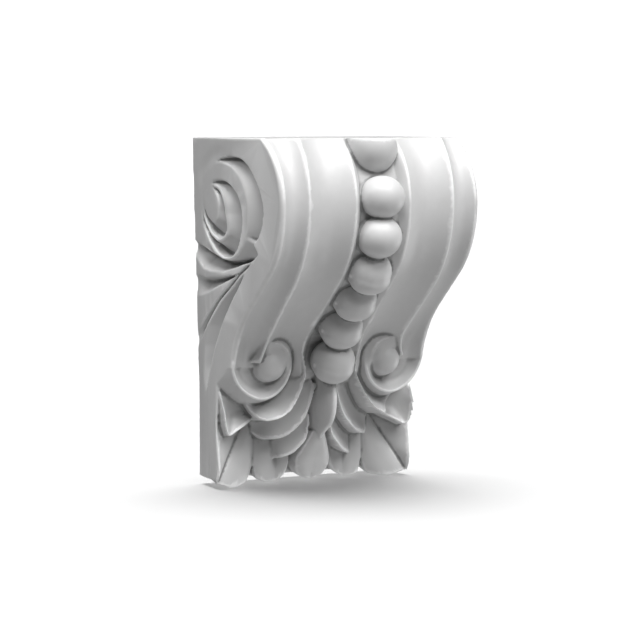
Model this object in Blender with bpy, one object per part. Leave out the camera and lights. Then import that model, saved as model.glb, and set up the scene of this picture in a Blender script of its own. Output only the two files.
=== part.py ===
"""A wall corbel with a scrolled front, a string of beads and a leaf apron, cast in plaster in one piece.

All sizes are in metres. X runs across the face, the wall is the plane Y = 0, the face looks towards -Y and
Z points up. The origin is the middle of the flat back, which is fixed to the wall.
A point of the carving is drawn as (across, up, out): across from the middle line, up from the foot and out
from the wall. The right half is drawn and the left half is its mirror image.
"""
import bpy
import numpy as np

# Overall sizes
HEIGHT = 0.250
HALF_WIDTH = 0.081
BACK_TAPER_TOP = 0.0008
BACK_TAPER_FOOT = 0.006

# The ogee that the crests beside the beads follow from the top to the neck. Each share sets a radius
BELLY_OUT = 0.1303
BELLY_DROP = 0.0453
TOP_SETBACK = 0.0216
NECK_UP = 0.084
NECK_OUT = 0.0566
BELLY_SHARE = 0.569
NECK_SHARE = 0.296

# The arris in the middle of each band, set out from the crest's ogee
OUTER_BAND = 0.0223
OUTER_BAND_NECK = 0.0247
ARRIS_BELLY_DROP = 0.0011
ARRIS_NECK_RISE = 0.0012
ARRIS_SETBACK = 0.0163
ARRIS_BELLY_SHARE = 0.616
ARRIS_NECK_SHARE = 0.2745

# The round shoulder at each band's outer side, set out in the same way
SHOULDER_ROUND = 0.0035
SHOULDER_BELLY_DROP = 0.0022
SHOULDER_NECK_DROP = 0.0008
SHOULDER_SETBACK = 0.0275
SHOULDER_BELLY_SHARE = 0.449
SHOULDER_NECK_SHARE = 0.494
SHOULDER_NECK_FALL = 0.010

# The hollows of the bands, and the height over which the bands open out above the neck
OUTER_COVE = 0.0050
NECK_COVE = 0.0065
INNER_COVE = 0.0065
BAND_OPENING = 0.066

# The bead string and the groove it lies in
BEAD_RADIUS = 0.0150
BEAD_HALF_WIDTH = 0.0158
BEAD_BITE = 0.0020
BEAD_SINK = 0.0028
LAST_BEAD_RISE = 0.0077
LAST_BEAD_PROUD = 0.0043
BEAD_SETTLING = 0.040
GROOVE_CLEARANCE = 0.0063
GROOVE_NECK_CLEARANCE = 0.0079
GROOVE_DEPTH = 0.006
GROOVE_NECK_DEPTH = 0.0025
GROOVE_SLOPE = 0.0065
CUT_BEAD_RADIUS = 0.0180
CUT_BEAD_DROP = 0.0070
CUT_BEAD_SINK = 0.0020

# The back plate that shows between the leaves
PLATE_FOOT = 0.0060
PLATE_OUT_FOOT = 0.021
PLATE_OUT_MIDDLE = 0.025
PLATE_OUT_NECK = 0.042
LIP_OUT = 0.036
LIP_ROUND = 0.001
LIP_FALL = 3
LEDGE_UP = 0.085
LEDGE_RISE = 0.003

# The volutes that end the outer channels
VOLUTE_RADIUS = 0.0245
VOLUTE_SIDE_GAP = 0.0015
VOLUTE_RISE = 0.004
VOLUTE_OUT = 0.0575
VOLUTE_SINK = 0.0070
VOLUTE_CHANNEL = 0.0055
VOLUTE_DRAFT = 0.28
VOLUTE_SPREAD = 0.055
CREASE_WIDTH = 0.0015
SEAT_INSET = 0.0020
EYE_RADIUS = 0.0125
EYE_OUT = 0.0645
EYE_INSET = 0.0073
EYE_RISE = 0.0016

# The depth that the leaves are set out by. Their roots lie inside the plate, and their walls lean
APRON_DEPTH = 0.060
LEAF_ROOT = 0.010
LEAF_DRAFT = 0.12
ROOT_INSET = 0.0006
ROOT_KNEE = 0.75
UNDERCUT_FOOT = PLATE_FOOT + 0.0008
UNDERCUT_HEAD = 0.030

# The scroll that is cut into each side, as (out, up) from the middle of the belly
SCROLL_DEPTH = 0.0070
RIBBON_CENTRE = (0.045, -0.006)
RIBBON_RADIUS = 0.0355
RECESS_CENTRE = (0.057, -0.006)
RECESS_RADIUS = 0.0430
INNER_RIBBON_CENTRE = (0.035, -0.008)
INNER_RIBBON_RADIUS = 0.0198
SIDE_EYE_CENTRE = (0.025, -0.002)
SIDE_EYE_RADIUS = 0.0120
INNER_RIBBON_WIDTH = 0.003
FLUTE_DEPTH = 0.0050
CREASE_DEPTH = 0.0030
VALLEY_DEPTH = 0.0050
CUT_LIP = 0.0004

PLASTER_COLOUR = (0.80, 0.80, 0.79, 1.0)
PLASTER_ROUGHNESS = 0.60

BELLY_UP = HEIGHT - BELLY_DROP
BACK_HALF_TOP = HALF_WIDTH - BACK_TAPER_TOP
BACK_HALF_FOOT = HALF_WIDTH - BACK_TAPER_FOOT
VOLUTE_ACROSS = HALF_WIDTH - VOLUTE_SIDE_GAP - VOLUTE_RADIUS
VOLUTE_UP = NECK_UP + VOLUTE_RISE
OVERRUN = 0.003
POLE_ANGLE = 76


def place(points):
    """Turn (across, up, out) points into world points."""
    points = np.asarray(points, float)
    return np.stack([points[..., 0], -points[..., 2], points[..., 1] - HEIGHT / 2], axis=-1)


def apron_points(shares):
    """Points of the leaf apron, as shares of the half width, the neck's height and the apron's depth."""
    return np.array(shares, float) * (HALF_WIDTH, NECK_UP, APRON_DEPTH)


def smooth_path(points, count):
    """Catmull-Rom curve through the points, read at evenly spaced parameters."""
    points = np.asarray(points, float)
    last = len(points) - 1
    place_on = np.linspace(0, last, count)
    start = np.minimum(place_on.astype(int), last - 1)
    u = (place_on - start)[:, None]
    before, here = points[np.maximum(start - 1, 0)], points[start]
    there, after = points[start + 1], points[np.minimum(start + 2, last)]
    return 0.5 * (2 * here + (there - before) * u + (2 * before - 5 * here + 4 * there - after) * u ** 2
                  + (3 * here - before - 3 * there + after) * u ** 3)


def ease(value, low, high):
    """Smooth step from 0 at low to 1 at high."""
    t = np.clip((np.asarray(value, float) - low) / (high - low), 0, 1)
    return t * t * (3 - 2 * t)


def ogee_out(up, belly_out, setback, belly_share, neck_out, neck_up, neck_share):
    """Depth of an ogee at each height: an arc back to the top, the belly's arc, a tangent, the neck's arc.

    The setback is how far the top lies behind the belly. The shares are of the radius that the belly's and
    the neck's arcs would have together if they touched without a tangent between them.
    """
    up = np.asarray(up, float)
    rise, depth = BELLY_UP - neck_up, belly_out - neck_out
    touching = (rise ** 2 + depth ** 2) / (2 * depth)
    belly_radius, neck_radius = belly_share * touching, neck_share * touching
    top_radius = (BELLY_DROP ** 2 + setback ** 2) / (2 * setback)
    belly = np.array([belly_out - belly_radius, BELLY_UP])
    neck = np.array([neck_out + neck_radius, neck_up])
    between = neck - belly
    lean = np.arctan2(-between[1], between[0]) - np.arccos((belly_radius + neck_radius) / np.hypot(*between))
    normal = np.array([np.cos(lean), -np.sin(lean)])
    high, low = belly + belly_radius * normal, neck - neck_radius * normal
    above = belly_out - top_radius + np.sqrt(np.maximum(top_radius ** 2 - (up - BELLY_UP) ** 2, 0))
    below = belly[0] + np.sqrt(np.maximum(belly_radius ** 2 - (up - BELLY_UP) ** 2, 0))
    straight = np.interp(up, [low[1], high[1]], [low[0], high[0]])
    hollow = neck[0] - np.sqrt(np.maximum(neck_radius ** 2 - np.maximum(up - neck_up, 0) ** 2, 0))
    out = np.where(up > BELLY_UP, above, below)
    out = np.where(up < high[1], straight, out)
    return np.where(up < low[1], hollow, out)


def crest_out(up):
    """Depth of the crest beside the beads."""
    return ogee_out(up, BELLY_OUT, TOP_SETBACK, BELLY_SHARE, NECK_OUT, NECK_UP, NECK_SHARE)


def arris_out(up):
    """Depth of the arris in the middle of a band."""
    return ogee_out(up, BELLY_OUT - ARRIS_BELLY_DROP, ARRIS_SETBACK, ARRIS_BELLY_SHARE,
                    NECK_OUT + ARRIS_NECK_RISE, NECK_UP, ARRIS_NECK_SHARE)


def shoulder_out(up):
    """Depth of a band's outer shoulder."""
    return ogee_out(up, BELLY_OUT - SHOULDER_BELLY_DROP, SHOULDER_SETBACK, SHOULDER_BELLY_SHARE,
                    NECK_OUT - SHOULDER_NECK_DROP, NECK_UP - SHOULDER_NECK_FALL, SHOULDER_NECK_SHARE)


def opened(up, at_neck, above):
    """A size of the bands that goes from its value at the neck to its value above."""
    return at_neck + (above - at_neck) * ease(up, NECK_UP + 0.25 * BAND_OPENING, NECK_UP + BAND_OPENING)


def plate_out(up):
    """Depth of the back plate behind the leaves."""
    return np.interp(up, [PLATE_FOOT, NECK_UP * 0.6, LEDGE_UP],
                     [PLATE_OUT_FOOT, PLATE_OUT_MIDDLE, PLATE_OUT_NECK])


def back_half(up):
    """Half width at the wall."""
    return np.interp(up, [0.25 * HEIGHT, HEIGHT], [BACK_HALF_FOOT, BACK_HALF_TOP])


def side_half(out, up):
    """Half width of the side face at a given depth."""
    corner = np.where(np.asarray(up) > LEDGE_UP, shoulder_out(up) - SHOULDER_ROUND, LIP_OUT)
    return back_half(up) + (HALF_WIDTH - back_half(up)) * np.clip(out / corner, 0, 1)


def make_object(name, vertices, faces):
    mesh = bpy.data.meshes.new(name)
    mesh.from_pydata([tuple(v) for v in vertices], [], faces)
    mesh.validate()
    made = bpy.data.objects.new(name, mesh)
    bpy.context.collection.objects.link(made)
    return made


def loft(name, rings):
    """Closed skin over a row of rings with a flat face at each end."""
    rings = np.asarray(rings, float)
    count, around = rings.shape[:2]
    faces = []
    for i in range(count - 1):
        for j in range(around):
            k = (j + 1) % around
            faces.append((i * around + j, i * around + k, (i + 1) * around + k, (i + 1) * around + j))
    faces.append(tuple(range(around - 1, -1, -1)))
    faces.append(tuple(range((count - 1) * around, count * around)))
    return make_object(name, rings.reshape(-1, 3), faces)


def slab(name, top, root):
    """Closed body between a carved top grid and a root grid of the same shape."""
    rows, columns = top.shape[:2]
    vertices = list(top.reshape(-1, 3)) + list(root.reshape(-1, 3))
    under = rows * columns

    def at(i, j):
        return i * columns + j

    faces = []
    for i in range(rows - 1):
        for j in range(columns - 1):
            quad = (at(i, j), at(i + 1, j), at(i + 1, j + 1), at(i, j + 1))
            faces.append(quad)
            faces.append(tuple(under + v for v in reversed(quad)))
    border = [at(0, j) for j in range(columns)] + [at(i, columns - 1) for i in range(1, rows)]
    border += [at(rows - 1, j) for j in range(columns - 2, -1, -1)]
    border += [at(i, 0) for i in range(rows - 2, 0, -1)]
    for a, b in zip(border, border[1:] + border[:1]):
        faces.append((a, b, under + b, under + a))
    return make_object(name, vertices, faces)


def mirrored(made):
    """Mirror image of a closed form in the middle plane."""
    twin = made.copy()
    twin.data = made.data.copy()
    twin.name = made.name + "_left"
    bpy.context.collection.objects.link(twin)
    for vertex in twin.data.vertices:
        vertex.co.x = -vertex.co.x
    twin.data.flip_normals()
    return twin


def outward(made):
    """Turn the faces of a closed form outwards if they point in."""
    mesh = made.data
    mesh.calc_loop_triangles()
    volume = sum(
        mesh.vertices[t.vertices[0]].co.dot(
            mesh.vertices[t.vertices[1]].co.cross(mesh.vertices[t.vertices[2]].co))
        for t in mesh.loop_triangles)
    if volume < 0:
        mesh.flip_normals()
    return made


def body():
    """Back plate and bands: level sections from foot to top."""
    plate_ups = np.linspace(PLATE_FOOT, LEDGE_UP, 4)
    neck_ups = np.linspace(LEDGE_UP + LEDGE_RISE, NECK_UP + 0.5 * BAND_OPENING, 4)
    band_ups = np.linspace(neck_ups[-1], HEIGHT + OVERRUN, 13)[1:]
    rings = []
    for up in np.concatenate([plate_ups, neck_ups, band_ups]):
        rings.append(front_section(up))
    return loft("corbel", place(rings))


def front_section(up):
    """Level section at one height, from the right back corner round the front to the left back corner."""
    in_plate = up <= LEDGE_UP
    carved = 0 if in_plate else 1
    crest = plate_out(up) if in_plate else crest_out(up)
    arris = plate_out(up) if in_plate else arris_out(up)
    shoulder = max(LIP_OUT, crest) if in_plate else shoulder_out(up)
    round_off = LIP_ROUND if in_plate else SHOULDER_ROUND
    cove = opened(up, NECK_COVE, OUTER_COVE)
    arris_across = HALF_WIDTH - opened(up, OUTER_BAND_NECK, OUTER_BAND)
    groove_half = BEAD_HALF_WIDTH + opened(up, GROOVE_NECK_CLEARANCE, GROOVE_CLEARANCE)
    half = [(back_half(up), up, 0.0)]
    for turn in np.linspace(0, np.pi / 2, 4):
        half.append((HALF_WIDTH - round_off * (1 - np.cos(turn)), up,
                     shoulder - round_off * (1 - np.sin(turn))))
    for share in np.linspace(0, 1, 5)[1:]:
        across = (HALF_WIDTH - round_off) * (1 - share) + arris_across * share
        fall = share if carved else 1 - (1 - share) ** LIP_FALL
        out = shoulder * (1 - fall) + arris * fall - carved * cove * np.sin(np.pi * share)
        half.append((across, up, out))
    for share in np.linspace(0, 1, 7)[1:]:
        across = arris_across * (1 - share) + groove_half * share
        out = arris * (1 - share) + crest * share - carved * INNER_COVE * np.sin(np.pi * share)
        half.append((across, up, out))
    groove = carved * opened(up, GROOVE_NECK_DEPTH, GROOVE_DEPTH)
    half.append((groove_half - GROOVE_SLOPE, up, crest - groove))
    other = [(-across, level, out) for across, level, out in reversed(half)]
    return half + other


def ellipsoid(name, centre, radii, rings=9, around=16, top=None):
    """Egg shape as level rings with a tiny flat at each end, or cut off flat at the height top if given."""
    steepest = np.radians(POLE_ANGLE)
    high = steepest if top is None else np.arcsin(np.clip((top - centre[1]) / radii[1], -1, 1))
    sweep = np.linspace(-steepest, high, rings)
    turn = np.linspace(0, 2 * np.pi, around, endpoint=False)
    rows = []
    for tilt in sweep:
        rows.append(np.stack([centre[0] + radii[0] * np.cos(tilt) * np.cos(turn),
                              np.full(around, centre[1] + radii[1] * np.sin(tilt)),
                              centre[2] - radii[2] * np.cos(tilt) * np.sin(turn)], axis=-1))
    return outward(loft(name, place(rows)))


def bead_centres():
    """Centres a bead's pitch apart along the ogee, from the last bead up to the one that the top cuts."""
    lowest = NECK_UP + LAST_BEAD_RISE
    ups = np.linspace(lowest, HEIGHT, 400)
    outs = crest_out(ups)
    run, rise = np.gradient(outs), np.gradient(ups)
    length = np.hypot(run, rise)
    lift = LAST_BEAD_PROUD - (LAST_BEAD_PROUD + BEAD_SINK) * ease(ups, lowest, lowest + BEAD_SETTLING)
    outs = outs + lift * rise / length
    ups = ups - lift * run / length
    travelled = np.concatenate([[0], np.cumsum(np.hypot(np.diff(outs), np.diff(ups)))])
    pitch = 2 * BEAD_RADIUS - BEAD_BITE
    highest = HEIGHT - CUT_BEAD_DROP - CUT_BEAD_RADIUS - 0.9 * BEAD_RADIUS
    places = np.arange(0, np.interp(highest, ups, travelled) + pitch / 2, pitch)
    return np.stack([np.interp(places, travelled, ups), np.interp(places, travelled, outs)], axis=-1)


def beads():
    made = []
    for number, (up, out) in enumerate(bead_centres()):
        radii = (BEAD_HALF_WIDTH, BEAD_RADIUS, BEAD_RADIUS)
        made.append(ellipsoid("bead_%d" % number, (0, up, out), radii, rings=7, around=12))
    cut_up = HEIGHT - CUT_BEAD_DROP
    centre = (0, cut_up, crest_out(cut_up) - CUT_BEAD_SINK)
    made.append(ellipsoid("cut_bead", centre, [CUT_BEAD_RADIUS] * 3, rings=6, around=16,
                          top=HEIGHT + OVERRUN))
    return made


def volute():
    """Disc whose rim is the band's outer edge curled under, with a channel inside the rim."""
    turn = np.linspace(0, 2 * np.pi, 26, endpoint=False)
    across = np.cos(turn)
    down = np.sin(turn)
    sunk = ease(turn, 1.05 * np.pi, 1.3 * np.pi) * (1 - ease(turn, 1.6 * np.pi, 1.95 * np.pi))
    rim = VOLUTE_OUT - VOLUTE_SINK * sunk
    spread = 1 + VOLUTE_SPREAD * (ease(turn, 1.5 * np.pi, 1.9 * np.pi) + ease(-turn, -0.25 * np.pi, 0))
    rings = []
    for share, depth in ((0.45, 0.80), (0.62, 1.0), (0.78, 0.85), (0.90, 0.40), (1.0, 0.0)):
        radius = share * VOLUTE_RADIUS * spread
        out = rim - depth * VOLUTE_CHANNEL * (1 - 0.9 * sunk)
        rings.append(np.stack([VOLUTE_ACROSS + radius * across, VOLUTE_UP - radius * down, out], axis=-1))
    root_out = np.full_like(turn, 0.5 * APRON_DEPTH)
    radius = VOLUTE_RADIUS * spread + VOLUTE_DRAFT * (rim - root_out)
    reach = np.minimum(VOLUTE_ACROSS + radius * across, HALF_WIDTH - ROOT_INSET)
    rings.append(np.stack([reach, VOLUTE_UP - radius * down, root_out], axis=-1))
    return outward(loft("volute", place(rings)))


def volute_seat():
    """Room cut out of the inner channel's end, round which the volute's crease runs."""
    radius = VOLUTE_RADIUS + CREASE_WIDTH
    reach = HALF_WIDTH - OUTER_BAND_NECK - VOLUTE_ACROSS - SEAT_INSET
    start = np.arccos(reach / radius)
    turn = np.linspace(start, 2 * np.pi - start, 20)
    outline = np.stack([VOLUTE_ACROSS + radius * np.cos(turn), VOLUTE_UP + radius * np.sin(turn)], axis=-1)
    outs = (VOLUTE_OUT - VOLUTE_SINK, BELLY_OUT)
    rings = [np.column_stack([outline, np.full(len(outline), out)]) for out in outs]
    return outward(loft("volute_seat", place(rings)))


def volute_eye():
    depth = 0.93 * EYE_RADIUS
    return ellipsoid("volute_eye", (VOLUTE_ACROSS - EYE_INSET, VOLUTE_UP + EYE_RISE, EYE_OUT - depth),
                     (EYE_RADIUS, EYE_RADIUS, depth), rings=7, around=14)


def volute_tail():
    """Roll that leaves the eye over the top and dies away at the inner side of the rim."""
    drawn = np.array([(0.12, 0.45, -0.16), (-0.29, 0.59, -0.18), (-0.67, 0.45, -0.20), (-0.86, 0.12, -0.22),
                      (-0.84, -0.12, -0.245)])
    path = smooth_path(VOLUTE_RADIUS * drawn, 8) + (VOLUTE_ACROSS, VOLUTE_UP, VOLUTE_OUT)
    radius = VOLUTE_RADIUS * np.interp(np.linspace(0, 4, 8), range(5), (0.29, 0.31, 0.27, 0.16, 0.07))
    return outward(tube("volute_tail", path, radius, around=8))


def tube(name, path, radius, around):
    """Round bar along a path that lies nearly level with the face."""
    ahead = np.gradient(path, axis=0)
    ahead /= np.linalg.norm(ahead, axis=1)[:, None]
    face = np.array([0, 0, 1.0])
    beside = np.cross(ahead, face)
    beside /= np.linalg.norm(beside, axis=1)[:, None]
    lift = np.cross(beside, ahead)
    turn = np.linspace(0, 2 * np.pi, around, endpoint=False)
    rings = path[:, None] + radius[:, None, None] * (
        np.cos(turn)[None, :, None] * beside[:, None] + np.sin(turn)[None, :, None] * lift[:, None])
    return loft(name, place(rings))


def leaf(name, rails, bows, along=11, steps=3, root=LEAF_ROOT):
    """Carved surface over several rails side by side, bowed out or hollowed between each two of them.

    The first and last rails are the leaf's edges. The walls below the edges lean out by the draft.
    """
    rails = [smooth_path(rail, along) for rail in rails]
    rows = [rails[0]]
    for first, second, bow in zip(rails[:-1], rails[1:], bows):
        for share in np.linspace(0, 1, steps + 1)[1:]:
            row = first * (1 - share) + second * share
            row[:, 2] += bow * np.sin(np.pi * share)
            rows.append(row)
    top = np.stack(rows)
    foot = top.copy()
    foot[..., 2] = root
    for edge, inner in ((0, 1), (-1, -2)):
        away = top[edge, :, :2] - top[inner, :, :2]
        away /= np.maximum(np.linalg.norm(away, axis=1), 1e-6)[:, None]
        foot[edge, :, :2] += away * (LEAF_DRAFT * (top[edge, :, 2] - root))[:, None]
    widest = np.abs(foot[..., 0]).max()
    limit = BACK_HALF_FOOT - ROOT_INSET
    if widest > limit:
        knee = ROOT_KNEE * limit
        pulled = knee + (np.abs(foot[..., 0]) - knee) * (limit - knee) / (widest - knee)
        foot[..., 0] = np.where(np.abs(foot[..., 0]) > knee, np.sign(foot[..., 0]) * pulled, foot[..., 0])
    lifted = UNDERCUT_FOOT + foot[..., 1] * (1 - UNDERCUT_FOOT / UNDERCUT_HEAD)
    foot[..., 1] = np.where(foot[..., 1] < UNDERCUT_HEAD, lifted, foot[..., 1])
    return outward(slab(name, place(top), place(foot)))


def scroll_leaf():
    """The inner channel runs on under the volute and ends in a blunt spoon."""
    crest = apron_points([(0.291, 1.262, 1.060), (0.283, 1.155, 1.007), (0.264, 1.060, 0.997),
                          (0.254, 0.976, 1.003), (0.289, 0.880, 1.017), (0.355, 0.762, 1.033),
                          (0.440, 0.662, 1.033), (0.540, 0.607, 1.017), (0.605, 0.585, 0.920),
                          (0.655, 0.600, 0.830)])
    foot = apron_points([(0.420, 1.262, 0.967), (0.390, 1.155, 0.933), (0.370, 1.060, 0.917),
                         (0.378, 0.976, 0.893), (0.405, 0.900, 0.867), (0.480, 0.790, 0.840),
                         (0.590, 0.735, 0.800), (0.690, 0.720, 0.770), (0.740, 0.730, 0.750),
                         (0.760, 0.740, 0.740)])
    return leaf("scroll_leaf", [crest, foot], [-0.004], along=16)


def second_leaf():
    crest = apron_points([(0.100, 0.860, 0.870), (0.179, 0.626, 0.858), (0.270, 0.511, 0.833),
                          (0.369, 0.437, 0.800), (0.457, 0.411, 0.742), (0.530, 0.412, 0.617),
                          (0.590, 0.455, 0.490)])
    head = apron_points([(0.185, 1.048, 0.850), (0.278, 0.857, 0.800), (0.370, 0.744, 0.758),
                         (0.457, 0.673, 0.717), (0.543, 0.631, 0.660), (0.611, 0.607, 0.560),
                         (0.648, 0.607, 0.480)])
    return leaf("second_leaf", [crest, head], [-0.003], along=12)


def third_leaf():
    crest = apron_points([(0.105, 0.580, 0.750), (0.123, 0.426, 0.733), (0.175, 0.351, 0.733),
                          (0.254, 0.276, 0.700), (0.338, 0.237, 0.633), (0.395, 0.223, 0.530),
                          (0.430, 0.225, 0.500)])
    head = apron_points([(0.148, 0.762, 0.750), (0.185, 0.667, 0.717), (0.241, 0.583, 0.683),
                         (0.321, 0.506, 0.633), (0.395, 0.458, 0.575), (0.444, 0.435, 0.517),
                         (0.475, 0.435, 0.475)])
    return leaf("third_leaf", [crest, head], [-0.002], along=11)


def outer_tongue():
    """Tongue between the volute and the corner leaf."""
    edge = apron_points([(0.994, 0.900, 0.610), (0.998, 0.760, 0.720), (0.992, 0.630, 0.780),
                         (0.965, 0.525, 0.760), (0.914, 0.462, 0.725), (0.811, 0.507, 0.708),
                         (0.700, 0.560, 0.670), (0.600, 0.620, 0.600)])
    head = apron_points([(0.980, 0.960, 0.600), (0.930, 0.900, 0.620), (0.880, 0.840, 0.630),
                         (0.840, 0.790, 0.620), (0.800, 0.760, 0.610), (0.740, 0.750, 0.600),
                         (0.670, 0.750, 0.590), (0.590, 0.750, 0.570)])
    return leaf("outer_tongue", [edge, head], [-0.002], along=12)


def corner_leaf():
    """Leaf folded along a line that runs down to the bottom corner."""
    side = apron_points([(0.998, 0.714, 0.533), (0.999, 0.595, 0.567), (0.999, 0.429, 0.613),
                         (0.999, 0.298, 0.640), (0.999, 0.179, 0.660), (0.998, 0.101, 0.643),
                         (0.993, 0.029, 0.583)])
    fold = apron_points([(0.640, 0.640, 0.430), (0.730, 0.390, 0.450), (0.870, 0.215, 0.520),
                         (0.980, 0.045, 0.580)])
    heel = apron_points([(0.600, 0.440, 0.440), (0.660, 0.270, 0.490), (0.740, 0.130, 0.520),
                         (0.820, 0.000, 0.525)])
    inner = apron_points([(0.560, 0.360, 0.420), (0.572, 0.210, 0.430), (0.590, 0.110, 0.430),
                         (0.640, 0.024, 0.430)])
    return leaf("corner_leaf", [side, fold, heel, inner], [0.0008, 0.0012, 0.0015], along=8, steps=2)


def low_leaf():
    side = apron_points([(0.580, 0.548, 0.420), (0.568, 0.310, 0.433), (0.556, 0.143, 0.440),
                         (0.530, 0.045, 0.440)])
    ridge = apron_points([(0.480, 0.548, 0.450), (0.475, 0.310, 0.500), (0.463, 0.131, 0.490),
                          (0.445, 0.014, 0.465)])
    middle = apron_points([(0.360, 0.548, 0.467), (0.358, 0.310, 0.483), (0.352, 0.131, 0.475),
                           (0.345, 0.016, 0.458)])
    inner = apron_points([(0.210, 0.476, 0.467), (0.204, 0.286, 0.467), (0.216, 0.155, 0.467),
                          (0.253, 0.070, 0.458)])
    return leaf("low_leaf", [side, ridge, middle, inner], [0.0008, 0.0006, 0.0010], along=7, steps=2)


def middle_leaf():
    """The leaf on the middle line, with a rib down it."""
    edge = apron_points([(0.060, 0.450, 0.700), (0.125, 0.320, 0.633), (0.172, 0.215, 0.567),
                         (0.170, 0.150, 0.550), (0.150, 0.095, 0.520), (0.108, 0.048, 0.507),
                         (0.040, 0.026, 0.500)])
    rib = apron_points([(0, 0.450, 0.760), (0, 0.330, 0.700), (0, 0.230, 0.630), (0, 0.165, 0.590),
                        (0, 0.100, 0.550), (0, 0.052, 0.520), (0, 0.022, 0.503)])
    return leaf("middle_leaf", [edge * (-1, 1, 1), rib, edge], [0.0012, 0.0012], along=9, steps=2)


def stem():
    """Round rib that leaves the last bead and dives into the middle leaf."""
    line = apron_points([(0.095, 1.10, 0.800), (0.095, 0.98, 1.000), (0.090, 0.80, 1.050),
                         (0.080, 0.64, 1.040), (0.068, 0.53, 0.970), (0.056, 0.45, 0.830),
                         (0.055, 0.36, 0.700)])
    drawn = smooth_path(line, 10)
    turn = np.linspace(0, 2 * np.pi, 12, endpoint=False)
    middle = 0.45 * APRON_DEPTH
    rings = []
    for half, up, out in drawn:
        reach = np.where(np.sin(turn) < 0, out - middle, middle - LEAF_ROOT)
        rings.append(np.stack([half * np.cos(turn), np.full_like(turn, up),
                               middle - reach * np.sin(turn)], axis=-1))
    return outward(loft("stem", place(rings)))


def side_cut(name, inner, outer, depth, deepest=0.8, along=12, steps=3):
    """Gouge cut in the right side between two lines of (out, up) points, deepest near the outer line."""
    inner = smooth_path(inner, along)
    outer = smooth_path(outer, along)
    depth = np.interp(np.linspace(0, 1, along), np.linspace(0, 1, len(depth)), depth)
    rows = []
    for share in np.linspace(0, 1, steps + 1):
        line = inner * (1 - share) + outer * share
        fall = np.sin(0.5 * np.pi * share / deepest) if share < deepest else 1 - ease(share, deepest, 1)
        across = side_half(line[:, 0], line[:, 1]) + CUT_LIP - (depth + CUT_LIP) * fall
        rows.append(np.stack([across, line[:, 1], line[:, 0]], axis=-1))
    cut = np.stack(rows)
    clear = cut.copy()
    clear[..., 0] = HALF_WIDTH + OVERRUN
    return outward(slab(name, place(cut), place(clear)))


def ring_points(centre, radius, start, end, count):
    """Points of an arc on the side, as (out, up), from one angle to another in degrees."""
    turn = np.radians(np.linspace(start, end, count))
    radius = np.interp(np.linspace(0, 1, count), np.linspace(0, 1, len(radius)), radius)
    outs = centre[0] + radius * np.cos(turn)
    ups = BELLY_UP + centre[1] + radius * np.sin(turn)
    return np.stack([outs, ups], axis=-1)


def side_cuts():
    """The grooves that leave a scroll, a shell of flutes and a long leaf standing on the right side."""
    ribbon = [RIBBON_RADIUS]
    inner_ribbon = [INNER_RIBBON_RADIUS]
    made = [side_cut("scroll_groove", ring_points(RIBBON_CENTRE, ribbon, 105, -62, 16),
                     ring_points(RECESS_CENTRE, [RECESS_RADIUS], 112, -50, 16),
                     SCROLL_DEPTH * np.array([0.1, 0.5, 0.9, 1, 1, 0.7]), along=18, steps=3)]
    band = RIBBON_RADIUS - np.array([0.0135, 0.0130, 0.0080, 0.0060, 0.0030, 0.0022, 0.0022])
    made.append(side_cut("ribbon_groove", ring_points(INNER_RIBBON_CENTRE, inner_ribbon, 112, -190, 24),
                         ring_points(RIBBON_CENTRE, band, 118, -170, 24),
                         SCROLL_DEPTH * np.array([0.1, 0.7, 1, 1, 1, 0.8, 0.4]), along=24, steps=3))
    inner_band = INNER_RIBBON_RADIUS - INNER_RIBBON_WIDTH
    made.append(side_cut("eye_groove", ring_points(SIDE_EYE_CENTRE, [SIDE_EYE_RADIUS], 60, -130, 14),
                         ring_points(INNER_RIBBON_CENTRE, [inner_band], 92, -150, 14),
                         SCROLL_DEPTH * np.array([0.3, 0.9, 1, 1, 0.8, 0.4]), along=14, steps=3))
    return made


def side_flutes():
    """Flutes that spring from one point at the waist and fan out to the wall, and a long leaf below."""
    waist = (0.084, -0.041)

    def lines(*points):
        return np.array(points, float) + (0, BELLY_UP)

    upper = lines((-0.002, -0.014), (0.014, -0.0285), (0.037, -0.0390), (0.060, -0.0405),
                  (waist[0], waist[1] + 0.002))
    rim = lines((-0.002, -0.036), (0.011, -0.046), (0.033, -0.050), (0.060, -0.0465), waist)
    made = [side_cut("first_flute", upper, rim, FLUTE_DEPTH * np.array([0.15, 0.8, 1, 0.7, 0.1]),
                     deepest=0.45)]
    upper = lines((-0.002, -0.054), (0.020, -0.054), (0.047, -0.052), (0.066, -0.0475),
                  (waist[0], waist[1] - 0.001))
    rim = lines((-0.002, -0.070), (0.020, -0.0665), (0.043, -0.060), (0.062, -0.0520),
                (waist[0], waist[1] - 0.002))
    made.append(side_cut("second_flute", upper, rim, FLUTE_DEPTH * np.array([0.15, 0.7, 0.8, 0.5, 0.1]),
                         deepest=0.35))
    upper = lines((-0.002, -0.093), (0.018, -0.082), (0.050, -0.062), (waist[0] - 0.002, waist[1] - 0.003))
    rim = lines((-0.002, -0.102), (0.021, -0.086), (0.055, -0.062), (waist[0], waist[1] - 0.004))
    made.append(side_cut("crease", upper, rim, CREASE_DEPTH * np.array([0.2, 1, 0.8, 0.2]),
                         deepest=0.5, along=8, steps=2))
    leaf_line = lines((0.076, -0.052), (0.053, -0.066), (0.026, -0.088), (0.006, -0.108), (0.004, -0.130),
                      (0.012, -0.134))
    edge = lines((0.078, -0.053), (0.062, -0.068), (0.046, -0.085), (0.036, -0.100), (0.026, -0.120),
                 (0.016, -0.136))
    made.append(side_cut("long_leaf", leaf_line, edge, VALLEY_DEPTH * np.array([0.1, 0.5, 0.9, 1, 0.8, 0.1]),
                         deepest=0.85))
    return made


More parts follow.
